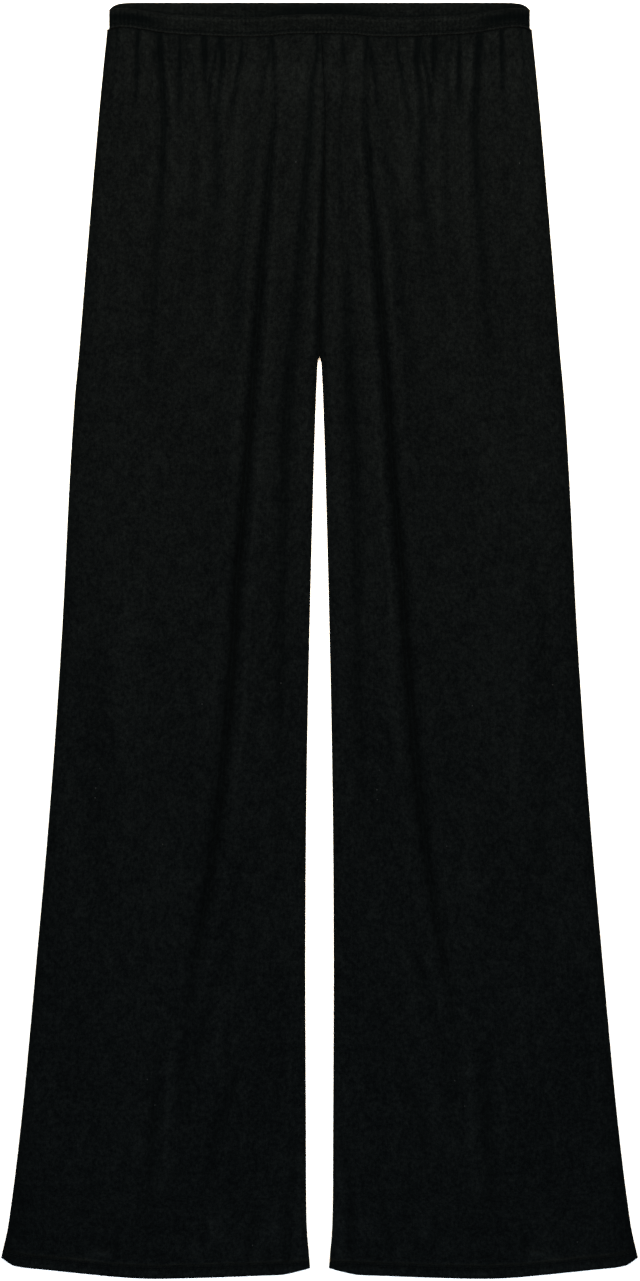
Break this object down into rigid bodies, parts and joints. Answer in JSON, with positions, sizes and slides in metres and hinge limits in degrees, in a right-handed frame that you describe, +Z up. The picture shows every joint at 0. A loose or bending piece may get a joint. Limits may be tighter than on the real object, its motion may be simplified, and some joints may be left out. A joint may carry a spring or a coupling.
{
  "type": "straight-leg trousers",
  "caption": "Pull-on jersey trousers with long wide straight legs and a narrow gathered elastic waist, laid out flat.",
  "frame": {"origin": "middle of the flat underside's bounding box, on the surface that the trousers lie on", "axes": "+Y from the hems to the waist, +X across towards the wearer's left leg, +Z up, off the surface, towards the front of the garment"},
  "size_m": [0.5266, 1.06, 0.0109],
  "materials": {
    "jersey": "black fine viscose jersey with a dry crepe grain and a faint soft sheen",
    "waistband_jersey": "the same black jersey, folded over an elastic and drawn in"
  },
  "bodies": {
    "root": {"back_left": "jersey", "front_left": "jersey", "back_right": "jersey", "front_right": "jersey", "waistband_back": "waistband_jersey", "waistband_front": "waistband_jersey"}
  },
  "joints": []
}
